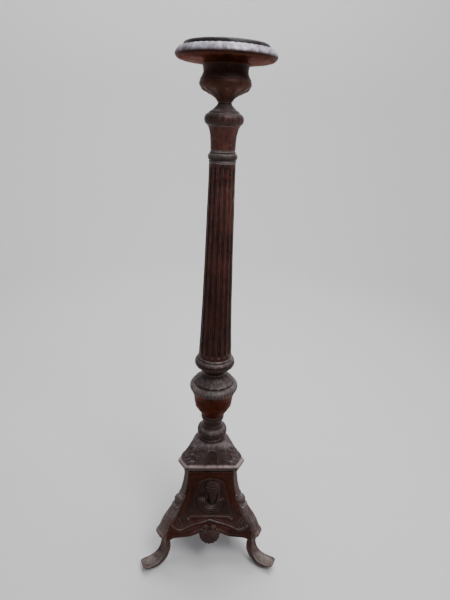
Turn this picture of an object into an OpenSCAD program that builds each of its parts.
// Altar candlestick: a hollow cast stem stacked on one iron tie rod, on a three-sided footed base,
// with a drip pan and pricket that lift off the cup. The front face looks along -Y.

/* [Base] */
// Distance from the stem axis to a face at the top of the base
face_top_d = 44.5; // [43:0.5:46]
// Radius of the hollow curve of each face, seen from the side
face_curve_r = 415; // [400:5:440]
// Thickness of a face panel
panel_t = 4; // [3:0.5:5]
// Width of a corner console at its top
console_top_w = 20; // [18:1:22]
// Width of a corner console at its bottom
console_low_w = 32; // [30:1:34]
// Radius of the round knob on each console
knob_r = 12; // [10:0.5:13]
// Radius of the scallop shell that hangs from each apron
shell_r = 25; // [23:1:27]
// Distance from the stem axis to a cut-off corner of the cap
cap_corner_d = 87; // [85:1:90]
// Width of a cut-off corner of the cap
cap_corner_w = 37; // [34:1:40]

/* [Feet] */
// Distance from the stem axis to the tip of a foot
foot_reach = 200; // [196:1:206]
// Radius of the flat pad that each foot stands on
pad_r = 7; // [6:0.5:8]

/* [Stem] */
// Length of the fluted shaft
shaft_h = 440; // [380:10:520]
// Radius of the shaft just above its foot
shaft_low_r = 37.8; // [37.2:0.2:38]
// Radius of the shaft under its top band
shaft_top_r = 27.2; // [26.8:0.2:27.4]
// Number of flutes
flutes = 16; // [12:1:18]
// Wall of the hollow castings
wall = 5; // [4:0.5:6]

/* [Pan] */
// Largest radius of the drip pan
pan_r = 97; // [94:1:100]
// Radius of the plain lip inside the gadrooned rim
lip_r = 82; // [81.5:0.25:82.5]
// Radial clearance of the pan's spigot in the cup
spigot_gap = 0.05; // [0.03:0.01:0.08]
// Radius of the pricket's cylindrical shank
pricket_r = 4; // [3:0.5:5]

/* [Hardware] */
// Radius of the tie rod
rod_r = 5; // [4.5:0.5:5]
// Width across flats of the tie rod's nuts
nut_af = 17; // [16:1:18]
// Radius of a panel screw
screw_r = 2; // [1.5:0.5:2]

/* [Hidden] */
$fn = 64;

// Angles of the faces and the corners, seen from above
FRONT = 270;
RIGHT = 30;
LEFT = 150;
CORNER_RIGHT = 330;
CORNER_LEFT = 210;
CORNER_REAR = 90;
corners = [CORNER_RIGHT, CORNER_LEFT, CORNER_REAR];
faces = [FRONT, RIGHT, LEFT];

// Levels above the floor
console_low_z = 84;
deck_z = 277;
deck_t = 6;
cap_z = deck_z + deck_t;
cap_edge_z = 311;
ring_z = 361;
vase_foot_z = 393;
vase_z = 433;
knop_rim_z = 507;
knop_cover_z = 526;
torus_z = 553;
shaft_z = 598;
band_z = shaft_z + shaft_h;
capital_z = band_z + 24;
capital_ring_z = capital_z + 46;
neck_z = capital_ring_z + 29;
cup_z = neck_z + 13;
cup_floor_z = cup_z + 24;
seat_z = cup_z + 65;
dish_z = seat_z + 6;
rim_z = seat_z + 14;
lip_top_z = seat_z + 35;

// The stem stands off the middle of the footprint, because one foot points straight back
tip_half_w = 14;
front_reach = foot_reach * sin(30) + tip_half_w * cos(30);
stem_y = -(foot_reach - front_reach) / 2;

face_curve_z = 290;
skirt_z = 116;
rod_gap = 0.3;
clear_rod_r = rod_r + rod_gap;
flange_t = 5;
flange_w = 15;
bush_h = 8;
bush_low_r = 29;
bush_top_r = 19;
cup_bore_r = 38;
spigot_r = cup_bore_r - spigot_gap;
spigot_h = 20;
rim_seat_r = 92;
lip_t = 7;
spigot_t = 5;
pricket_stud_r = 3;
pricket_collar_r = 14;
pricket_collar_h = 4;
pricket_shank_h = 10;
pricket_point_h = 12;
pricket_nut_h = 6;
pricket_nut_af = 10;
nut_h = 10;
washer_t = 3;
washer_r = 14;
screw_zs = [132, 236];
head_r = 2 * screw_r;
rivet_r = 1.6;
// Rivets of the reliefs, then those of the shells
rivet_xs = [[-38, 38], [-8, 8]];
rivet_zs = [162, 130];
shell_z = 126;
shell_drop = 13;
shell_t = 9;
// Arched block behind each bust: half widths at its foot and at its springing, heights and the arch's rise
relief_low_w = 59;
relief_top_w = 37.5;
relief_z = 152;
arch_z = 236;
arch_h = 26;
relief_t = 7;
knob_p = [92.5, 195];
knob_stem_r = 3;
knob_stem_l = 20;
stud_r = 4;
stud_d = 132;
stud_low_z = 62;
stud_top_z = 104;
pad_d = 168;
pad_h = 8;
deck_corner_d = 70;
deck_corner_w = 17;
deck_screw_d = 59;
deck_screw_r = 3;
deck_screw_low_z = 255;

// Colours
DARK = [0.17, 0.11, 0.09];
BROWN = [0.24, 0.14, 0.11];
RED_BROWN = [0.33, 0.17, 0.12];
PALE = [0.62, 0.60, 0.60];
IRON = [0.25, 0.25, 0.26];

// A smooth curve through the points, with n steps between neighbours
function smooth(p, n = 4) = let (k = len(p) - 1, q = concat([2 * p[0] - p[1]], p, [2 * p[k] - p[k - 1]]))
  [for (i = [0:k - 1], j = [0:n - 1]) spline(q[i], q[i + 1], q[i + 2], q[i + 3], j / n), p[k]];
function spline(a, b, c, d, t) =
  0.5 * (2 * b + (c - a) * t + (2 * a - 5 * b + 4 * c - d) * t * t + (3 * b - a - 3 * c + d) * t * t * t);

// A half-round moulding that stands out by "out" between two heights
function bead(r, z0, z1, out, n = 10) =
  [for (i = [0:n]) [r + out * sin(180 * i / n), (z0 + z1) / 2 - (z1 - z0) / 2 * cos(180 * i / n)]];

// Distance from the stem axis to a face at a height, or to a depth t behind it
function face_d(z, t = 0) =
  face_top_d + face_curve_r - sqrt((face_curve_r + t) ^ 2 - (face_curve_z - max(z, skirt_z)) ^ 2);
function face_lean(z) = asin((face_curve_z - max(z, skirt_z)) / face_curve_r);
function console_w(z) =
  console_low_w + (console_top_w - console_low_w) * (z - console_low_z) / (deck_z - console_low_z);

module about_stem(angle = 0) translate([0, stem_y, 0]) rotate([0, 0, angle]) children();

// A turned piece: the outline runs upwards, and closes on the axis
module turned(outline) rotate_extrude()
  polygon(concat([[0, outline[0].y]], outline, [[0, outline[len(outline) - 1].y]]));

// A hollow turned piece with a hole for the tie rod. low_web and top_web are the closed ends' thicknesses
module hollow(outline, low_web, top_web) {
  z0 = outline[0].y;
  z1 = outline[len(outline) - 1].y;
  difference() {
    turned(outline);
    translate([0, 0, z0 - 1]) cylinder(r = clear_rod_r, h = z1 - z0 + 2);
    intersection() {
      turned([for (p = outline) [p.x - wall, p.y]]);
      translate([0, 0, z0 + low_web]) cylinder(r = 100, h = z1 - z0 - low_web - top_web);
    }
  }
}

module hex_nut(z, h, af, bore_r) translate([0, 0, z]) difference() {
  cylinder(d = af / cos(30), h = h, $fn = 6);
  translate([0, 0, -1]) cylinder(r = bore_r, h = h + 2);
}

module washer(z) translate([0, 0, z]) difference() {
  cylinder(r = washer_r, h = washer_t);
  translate([0, 0, -1]) cylinder(r = clear_rod_r, h = washer_t + 2);
}

// A closed skin over rings of points that all have the same count. Its end faces fan out from point apex
module loft(rings, apex = 0) {
  n = len(rings[0]);
  m = len(rings);
  sides = [for (j = [0:m - 2], i = [0:n - 1]) let (k = (i + 1) % n) each [
    [j * n + i, (j + 1) * n + i, (j + 1) * n + k], [j * n + i, (j + 1) * n + k, j * n + k]]];
  low = [for (i = [1:n - 2]) [apex, (apex + i) % n, (apex + i + 1) % n]];
  top = [for (f = low) [for (i = [2:-1:0]) (m - 1) * n + f[i]]];
  polyhedron([for (r = rings) each r], concat(sides, low, top));
}

// Triangle with cut-off corners at one height: d is the corners' distance, w their width
function cut_triangle(d, w, z) = [for (a = [-30, 90, 210], s = [-1, 1])
  [d * cos(a) - s * w / 2 * sin(a), d * sin(a) + s * w / 2 * cos(a), z]];

// Frame on a face that looks along +X: x across, y up the face, z outwards, at the face's surface
module on_face(x, z) translate([face_d(z), x, z])
  rotate([0, 90 - face_lean(z), 0]) rotate([0, 0, 90]) children();

// Wall that follows a face up to the deck, from depth t0 to depth t1 behind its surface
face_steps = 12;
module face_slab(t0, t1, low = skirt_z) translate([0, 150, 0]) rotate([90, 0, 0]) linear_extrude(300)
  polygon(concat([for (z = face_levels(low)) [face_d(z, t0), z]],
    [for (z = reversed(face_levels(low))) [face_d(z, t1), z]]));
function face_levels(low) = concat(low < skirt_z ? [low] : [],
  [for (i = [0:face_steps]) skirt_z + (deck_z - skirt_z) * i / face_steps]);
function reversed(list) = [for (i = [len(list) - 1:-1:0]) list[i]];

// Space between two planes beside a corner's middle plane. Each is a console side, -1 or 1, and an
// offset from it
module corner_space(a, b) rotate([90, 0, 90]) linear_extrude(230)
  polygon([for (s = [[a, 70], [b, 70], [b, 290], [a, 290]])
    [s[0][0] * console_w(s[1]) / 2 + s[0][1], s[1]]]);

// Lower edge of a panel: a bracket that peaks in the middle and drops to the corners
apron = [[160, 84], [120, 84], [106, 88], [92, 97], [70, 100.6], [50, 103.8], [32, 112.4], [0, 122]];
module apron_cut() rotate([90, 0, 90]) linear_extrude(200)
  polygon(concat([[-160, 60], [160, 60]],
    smooth(concat(apron, [for (i = [len(apron) - 2:-1:0]) [-apron[i].x, apron[i].y]]), 3)));

module panel(angle) color(BROWN) about_stem(angle) difference() {
  face_slab(0, panel_t, 80);
  rotate([0, 0, 60]) corner_space([-1, 0], [1, 200]);
  rotate([0, 0, -60]) corner_space([-1, -200], [1, 0]);
  apron_cut();
  screw_holes(screw_r);
  for (i = [0, 1], x = rivet_xs[i]) on_face(x, rivet_zs[i])
    translate([0, 0, -panel_t - 1]) cylinder(r = rivet_r, h = panel_t + 2);
}

function screw_x(z) = face_d(z) * tan(60) - console_w(z) - 7;

module screw_holes(r) for (z = screw_zs, s = [-1, 1])
  on_face(s * screw_x(z), z) translate([0, 0, -20]) cylinder(r = r, h = 18);

// Room behind the flanges for the screws' heads
module head_holes() for (z = screw_zs, s = [-1, 1]) on_face(s * screw_x(z), z)
  translate([0, 0, -panel_t - flange_t - 40]) cylinder(r = head_r + 0.4, h = 40);

module console(angle) color(BROWN) difference() {
  union() {
    about_stem(angle) intersection() {
      corner_space([-1, 0], [1, 0]);
      translate([0, 60, 0]) rotate([90, 0, 0]) linear_extrude(120) polygon(console_outline());
    }
    for (s = [-1, 1]) about_stem(angle + 60 * s) intersection() {
      face_slab(panel_t, panel_t + flange_t);
      rotate([0, 0, -60 * s]) corner_space([s, s > 0 ? -2 : -flange_w], [s, s > 0 ? flange_w : 2]);
    }
  }
  for (s = [-1, 1]) about_stem(angle + 60 * s) {
    screw_holes(screw_r + 0.2);
    head_holes();
  }
  about_stem(angle) {
    translate([knob_p.x, 0, knob_p.y]) {
      sphere(r = knob_r);
      rotate([0, -90, 0]) cylinder(r = knob_stem_r, h = knob_stem_l);
    }
    stud_hole();
    translate([deck_screw_d, 0, deck_screw_low_z - 5]) cylinder(r = deck_screw_r, h = 40);
  }
}

module stud_hole() translate([stud_d, 0, stud_low_z - 2])
  cylinder(r = stud_r, h = stud_top_z - stud_low_z + 4);

function console_outline() = concat(
  smooth([[70, deck_z], [74, 253], [84, 218], [95, 198], [113, 173], [128, 154], [138, 138],
    [144.5, 124], [155, 109], [149, 97], [147, console_low_z]], 3),
  [for (z = [console_low_z:24:deck_z]) [2 * face_d(z) - 0.87 * console_w(z) - 22, z]]);

module knob(angle) color(DARK) about_stem(angle) translate([knob_p.x, 0, knob_p.y]) rotate([0, 90, 0]) {
  translate([0, 0, -knob_stem_l]) cylinder(r = knob_stem_r, h = knob_stem_l);
  sphere(r = knob_r);
}

// Bust in an arched frame, as one plain block
module relief(angle) color(DARK) about_stem(angle) intersection() {
  face_slab(-relief_t, 0);
  rotate([90, 0, 90]) linear_extrude(200) polygon(concat(
    [[-relief_low_w, relief_z], [relief_low_w, relief_z]],
    [for (a = [0:15:180]) [relief_top_w * cos(a), arch_z + arch_h * sin(a)]]));
}

module relief_rivets() color(DARK) for (f = faces, x = rivet_xs[0]) about_stem(f)
  on_face(x, rivet_zs[0]) translate([0, 0, -panel_t - 1]) cylinder(r = rivet_r, h = panel_t + 1);

// Scallop shell with a wavy edge, let into the curve of the face
module shell(angle) color(DARK) about_stem(angle) difference() {
  on_face(0, shell_z) translate([0, -shell_drop, -2]) linear_extrude(shell_t + 2)
    polygon([for (a = [0:6:354]) (shell_r - 1.5 * abs(sin(4.5 * a))) * [cos(a), sin(a)]]);
  face_slab(0, 30, 60);
}

module shell_rivets() color(DARK) for (f = faces, x = rivet_xs[1]) about_stem(f)
  on_face(x, rivet_zs[1]) translate([0, 0, -panel_t - 1]) cylinder(r = rivet_r, h = panel_t + 1);

module panel_screws() color(IRON) for (f = faces, z = screw_zs, s = [-1, 1]) about_stem(f)
  on_face(s * screw_x(z), z) {
    translate([0, 0, -panel_t - flange_t]) cylinder(r = screw_r, h = panel_t + flange_t - 2);
    translate([0, 0, -panel_t - flange_t - 3]) cylinder(r = head_r, h = 3);
  }

module base_deck() color(IRON) about_stem() difference() {
  translate([0, 0, deck_z]) linear_extrude(deck_t)
    polygon([for (p = cut_triangle(deck_corner_d, deck_corner_w, 0)) [p.x, p.y]]);
  translate([0, 0, deck_z - 1]) cylinder(r = clear_rod_r, h = deck_t + 2);
  for (c = corners) rotate([0, 0, c]) translate([deck_screw_d, 0, deck_z - 1])
    cylinder(r = deck_screw_r + 0.2, h = deck_t + 2);
}

module deck_screws() color(IRON) for (c = corners) about_stem(c) translate([deck_screw_d, 0, 0]) {
  translate([0, 0, deck_screw_low_z]) cylinder(r = deck_screw_r, h = cap_z - deck_screw_low_z);
  translate([0, 0, cap_z]) cylinder(r = 1.5 * deck_screw_r, h = 3);
}

// Foot: a leg that sweeps down and out into a tongue with a keel. Each row is distance out, height,
// half width and keel depth
foot_path = [[143, console_low_z + 14, 11, 12], [139, 80, 12, 15], [139, 60, 14, 19], [143, 42, 15, 22],
  [153, 28, 16, 24], [167, 21.5, 17, 21], [185, 22, 17, 15], [foot_reach, 26, tip_half_w, 5]];

module foot(angle) color(PALE) difference() {
  about_stem(angle) {
    difference() {
      loft(foot_rings(), 18);
      translate([100, -50, console_low_z]) cube([100, 100, 50]);
    }
    translate([pad_d, 0, 0]) cylinder(r = pad_r, h = pad_h);
  }
  about_stem(angle) stud_hole();
}

// The top of each ring is slightly hollow, and its underside is a rounded keel
foot_hollow = 3;
function foot_rings() = let (p = smooth(foot_path, 3), k = len(p) - 1)
  [for (i = [0:k]) let (a = p[max(i - 1, 0)], b = p[min(i + 1, k)],
    t = [b.x - a.x, b.y - a.y] / norm([b.x - a.x, b.y - a.y]))
    [for (v = [0:15:345]) let (up = sin(v) > 0 ? -foot_hollow * sin(v) ^ 2 : -p[i][3] * abs(sin(v)) ^ 0.8)
      [p[i].x - t.y * up, p[i].z * cos(v), max(p[i].y + t.x * up, 0.5)]]];

module foot_studs() color(IRON) for (c = corners) about_stem(c)
  translate([stud_d, 0, stud_low_z]) cylinder(r = stud_r, h = stud_top_z - stud_low_z);

// Cap: a moulded three-sided tray and a dome that sweeps up to a round neck
// Height, and how far each level is from the neck to the tray's edge
dome_levels = [[ring_z, 0], [359.4, 0.14], [355.5, 0.3], [348, 0.47], [338, 0.61], [329, 0.74], [320, 0.85],
  [314, 0.93], [cap_edge_z - 3, 0.97]];
cap_neck_r = 34;
// The tray's section, then the hollow inside: height, corner distance past cap_corner_d, corner width
tray_levels = [[cap_z, -17.5, 18], [cap_z + 4, -16, 20], [cap_z + 12, -9, 28], [cap_z + 16, -3, 34],
  [cap_z + 21, 0, cap_corner_w], [cap_edge_z - 3, 0, cap_corner_w], [cap_edge_z, -3, cap_corner_w - 2]];
cap_hollow = [[cap_z - 1, -22.5, 15], [cap_edge_z - 6, -22.5, 15], [340, -55, 14], [350, -63, 12]];
function triangle_r(a, d, w) = let (
  off_corner = abs((a + 90) % 120 - 60), face = d * cos(60) + w / 2 * sin(60))
  min(d / cos(off_corner), face / cos(60 - off_corner));
function dome_ring(z, t, r0, d, w) = [for (a = [0:7.5:352.5]) let (r = r0 + (triangle_r(a, d, w) - r0) * t)
  [r * cos(a), r * sin(a), z]];

module base_cap() color(DARK) about_stem() difference() {
  union() {
    loft([for (s = tray_levels) cut_triangle(cap_corner_d + s[1], s[2], s[0])]);
    loft([for (s = reversed(dome_levels))
      dome_ring(s[0], s[1], cap_neck_r, cap_corner_d - 4, cap_corner_w - 2)]);
  }
  loft([for (s = cap_hollow) cut_triangle(cap_corner_d + s[1], s[2], s[0])]);
  translate([0, 0, 200]) cylinder(r = clear_rod_r, h = 200);
}

module base_ring() color(DARK) about_stem() hollow(concat([[33.8, ring_z], [33.8, ring_z + 9]],
  bead(31, ring_z + 10, ring_z + 31, 5.6), [[30, vase_foot_z]]), 4, 4);

module vase_foot() color(DARK) about_stem() hollow(concat(
  smooth([[29.4, vase_foot_z], [26, vase_foot_z + 4], [23.8, vase_foot_z + 10], [23.4, vase_foot_z + 17],
    [24, vase_foot_z + 23]]),
  bead(25, vase_foot_z + 24.5, vase_foot_z + 38.5, 3.6), [[27, vase_z]]), 4, 4);

module vase_body() color(RED_BROWN) about_stem() hollow(
  smooth([[27.4, vase_z], [30.6, vase_z + 10], [37.6, vase_z + 22], [43.6, vase_z + 34],
    [46.2, vase_z + 45], [47.6, vase_z + 54], [51, vase_z + 65], [55.6, knop_rim_z]]), 6, 0);

knop_bore_r = 42;
module knop_rim() color(DARK) about_stem() difference() {
  turned(concat(smooth([[55.6, knop_rim_z], [57.3, knop_rim_z + 2.6], [58, knop_rim_z + 6.4],
    [57.6, knop_rim_z + 10.4], [55.2, knop_rim_z + 14.4], [51, knop_rim_z + 16.4]]),
    [[48.8, knop_cover_z]]));
  translate([0, 0, knop_rim_z - 5]) cylinder(r = knop_bore_r, h = 40);
}

module knop_cover() color(DARK) about_stem() hollow(
  smooth([[48.6, knop_cover_z], [47.2, knop_cover_z + 4.2], [40.6, knop_cover_z + 9],
    [32.8, knop_cover_z + 14.2], [28.6, knop_cover_z + 20.2], [27.6, torus_z]]), 0, 5);

module shaft_torus() color(DARK) about_stem() hollow(concat(
  smooth([[27.6, torus_z], [28.2, torus_z + 4], [31.2, torus_z + 9], [36.2, torus_z + 13.4]]),
  bead(38, torus_z + 16.4, torus_z + 39, 8.8), [[40.6, torus_z + 42], [39, shaft_z]]), 5, 5);

module shaft() color(BROWN) about_stem() difference() {
  turned(shaft_outline());
  for (i = [0:flutes - 1]) rotate([0, 0, 360 * (i + 0.5) / flutes]) flute();
  shaft_bore();
}

function shaft_outline() = concat([[39, shaft_z], [39, shaft_z + 4], [38.2, shaft_z + 9]],
  smooth([[shaft_low_r, shaft_z + 24], [shaft_low_r - 3.6, shaft_z + 0.26 * shaft_h],
    [shaft_low_r - 7, shaft_z + 0.55 * shaft_h], [shaft_top_r + 0.8, shaft_z + 0.87 * shaft_h],
    [shaft_top_r, band_z]], 3));

// One groove, a tapered rod with round ends, laid along the shaft's side
flute_low_r = 5.2;
flute_top_r = 3.7;
module flute() {
  low = [shaft_low_r + 1.6, 0, shaft_z + 32];
  top = [shaft_top_r + 1.2, 0, band_z - 16];
  l = norm(top - low);
  translate(low) rotate([0, -atan2(low.x - top.x, top.z - low.z), 0]) turned(concat(
    [for (a = [-75:25:0]) flute_low_r * [cos(a), sin(a)]],
    [for (a = [0:25:75]) flute_top_r * [cos(a), sin(a)] + [0, l]]));
}

module shaft_bore() {
  translate([0, 0, shaft_z - 1]) cylinder(r = bush_low_r, h = bush_h + 1);
  translate([0, 0, shaft_z + bush_h])
    cylinder(r1 = bush_low_r - 1, r2 = bush_top_r - 1, h = shaft_h - 2 * bush_h);
  translate([0, 0, band_z - bush_h]) cylinder(r = bush_top_r, h = bush_h + 1);
}

module bush(z, r) color(IRON) about_stem() translate([0, 0, z]) difference() {
  cylinder(r = r, h = bush_h);
  translate([0, 0, -1]) cylinder(r = clear_rod_r, h = bush_h + 2);
}

module shaft_band() color(DARK) about_stem() hollow(concat([[26.8, band_z]],
  bead(26.6, band_z + 4, band_z + 19, 2.8), [[24.6, capital_z]]), 4, 4);

module capital() color(BROWN) about_stem() hollow(
  smooth([[24.8, capital_z], [24.8, capital_z + 8], [25.2, capital_z + 18], [26.8, capital_z + 30],
    [29.6, capital_z + 40], [33, capital_ring_z]]), 4, 4);

module capital_ring() color(DARK) about_stem() hollow(concat(
  bead(31.6, capital_ring_z, capital_ring_z + 22.4, 7.4),
  smooth([[31, capital_ring_z + 25], [28, capital_ring_z + 27.4], [24, neck_z]])), 4, 4);

module stem_neck() color(DARK) about_stem() difference() {
  turned(smooth([[24, neck_z], [18.4, neck_z + 5], [14.6, neck_z + 9], [13.4, cup_z]]));
  translate([0, 0, neck_z - 1]) cylinder(r = clear_rod_r, h = cup_z - neck_z + 2);
}

module cup() color(RED_BROWN) about_stem() difference() {
  translate([0, 0, cup_z]) turned(smooth([[13.4, 0], [15.4, 5], [23, 11.6], [39, 19.5], [47.5, 25],
    [50.5, 32], [48.5, 39.5], [44.2, 48], [43, 54], [43.6, 60], [45.5, seat_z - cup_z]]));
  translate([0, 0, cup_floor_z]) cylinder(r = cup_bore_r, h = 60);
  translate([0, 0, cup_z - 1]) cylinder(r = clear_rod_r, h = 40);
}

rod_low_z = 256;
rod_top_z = cup_floor_z + 19;
module tie_rod() color(IRON) about_stem()
  translate([0, 0, rod_low_z]) cylinder(r = rod_r, h = rod_top_z - rod_low_z);

module rod_washer_low() color(IRON) about_stem() washer(deck_z - washer_t);
module rod_nut_low() color(IRON) about_stem() hex_nut(deck_z - washer_t - nut_h, nut_h, nut_af, rod_r);
module rod_washer_top() color(IRON) about_stem() washer(cup_floor_z);
module rod_nut_top() color(IRON) about_stem() hex_nut(cup_floor_z + washer_t, nut_h, nut_af, rod_r);

module drip_pan() color(RED_BROWN) about_stem() translate([0, 0, seat_z]) difference() {
  turned([[47, 0], [49, 1.2], [60, 2.4], [74, 3.8], [86, 5.8], [rim_seat_r, rim_low_h],
    [rim_seat_r, rim_z - seat_z], [71, rim_z - seat_z], [68, dish_z - seat_z + 4],
    [64, dish_z - seat_z + 1.5], [58, dish_z - seat_z]]);
  translate([0, 0, -1]) cylinder(r = pricket_stud_r, h = 20);
}

rim_low_h = 8;
module pan_rim() color(PALE) about_stem() translate([0, 0, seat_z]) difference() {
  turned(concat([[rim_seat_r, rim_low_h]],
    smooth([[pan_r - 2.4, 9.6], [pan_r, 14], [pan_r - 1.3, 18.8], [pan_r - 5, 23.4],
      [pan_r - 9, 26.2], [pan_r - 12, 26.4], [lip_r, 22.6]]), [[lip_r, rim_low_h + 1]]));
  cylinder(r = lip_r, h = 60);
  translate([0, 0, 5]) cylinder(r = rim_seat_r, h = rim_z - seat_z - 5);
}

module pan_lip() color(DARK) about_stem() difference() {
  turned([[lip_r, rim_z], [lip_r, seat_z + 27], [lip_r - 1.5, lip_top_z - 3], [lip_r - 3.5, lip_top_z],
    [lip_r - 5.5, lip_top_z]]);
  translate([0, 0, seat_z]) cylinder(r = lip_r - lip_t, h = 60);
}

module pan_spigot() color(BROWN) about_stem() translate([0, 0, seat_z - spigot_h]) difference() {
  cylinder(r = spigot_r, h = spigot_h);
  translate([0, 0, -1]) cylinder(r = spigot_r - spigot_t, h = spigot_h + 2);
}

module pricket() color(IRON) about_stem() {
  shank_z = dish_z + pricket_collar_h;
  translate([0, 0, seat_z - 10]) cylinder(r = pricket_stud_r, h = dish_z - seat_z + 10);
  translate([0, 0, dish_z]) cylinder(r = pricket_collar_r, h = pricket_collar_h);
  translate([0, 0, shank_z]) cylinder(r = pricket_r, h = pricket_shank_h);
  translate([0, 0, shank_z + pricket_shank_h]) cylinder(r1 = pricket_r, r2 = 0.6, h = pricket_point_h);
}

module pricket_nut() color(IRON) about_stem()
  hex_nut(seat_z - pricket_nut_h, pricket_nut_h, pricket_nut_af, pricket_stud_r);

base_deck();
deck_screws();
panel(FRONT);  // panel_front
panel(RIGHT);  // panel_right
panel(LEFT);  // panel_left
console(CORNER_RIGHT);  // console_right
console(CORNER_LEFT);  // console_left
console(CORNER_REAR);  // console_rear
panel_screws();
knob(CORNER_RIGHT);  // knob_right
knob(CORNER_LEFT);  // knob_left
knob(CORNER_REAR);  // knob_rear
relief(FRONT);  // relief_front
relief(RIGHT);  // relief_right
relief(LEFT);  // relief_left
relief_rivets();
shell(FRONT);  // shell_front
shell(RIGHT);  // shell_right
shell(LEFT);  // shell_left
shell_rivets();
foot(CORNER_RIGHT);  // foot_right
foot(CORNER_LEFT);  // foot_left
foot(CORNER_REAR);  // foot_rear
foot_studs();
base_cap();
base_ring();
vase_foot();
vase_body();
knop_rim();
knop_cover();
shaft_torus();
shaft();
bush(shaft_z, bush_low_r);  // shaft_bush_low
bush(band_z - bush_h, bush_top_r);  // shaft_bush_top
shaft_band();
capital();
capital_ring();
stem_neck();
cup();
tie_rod();
rod_washer_low();
rod_nut_low();
rod_washer_top();
rod_nut_top();
drip_pan();
pan_rim();
pan_lip();
pan_spigot();
pricket();
pricket_nut();
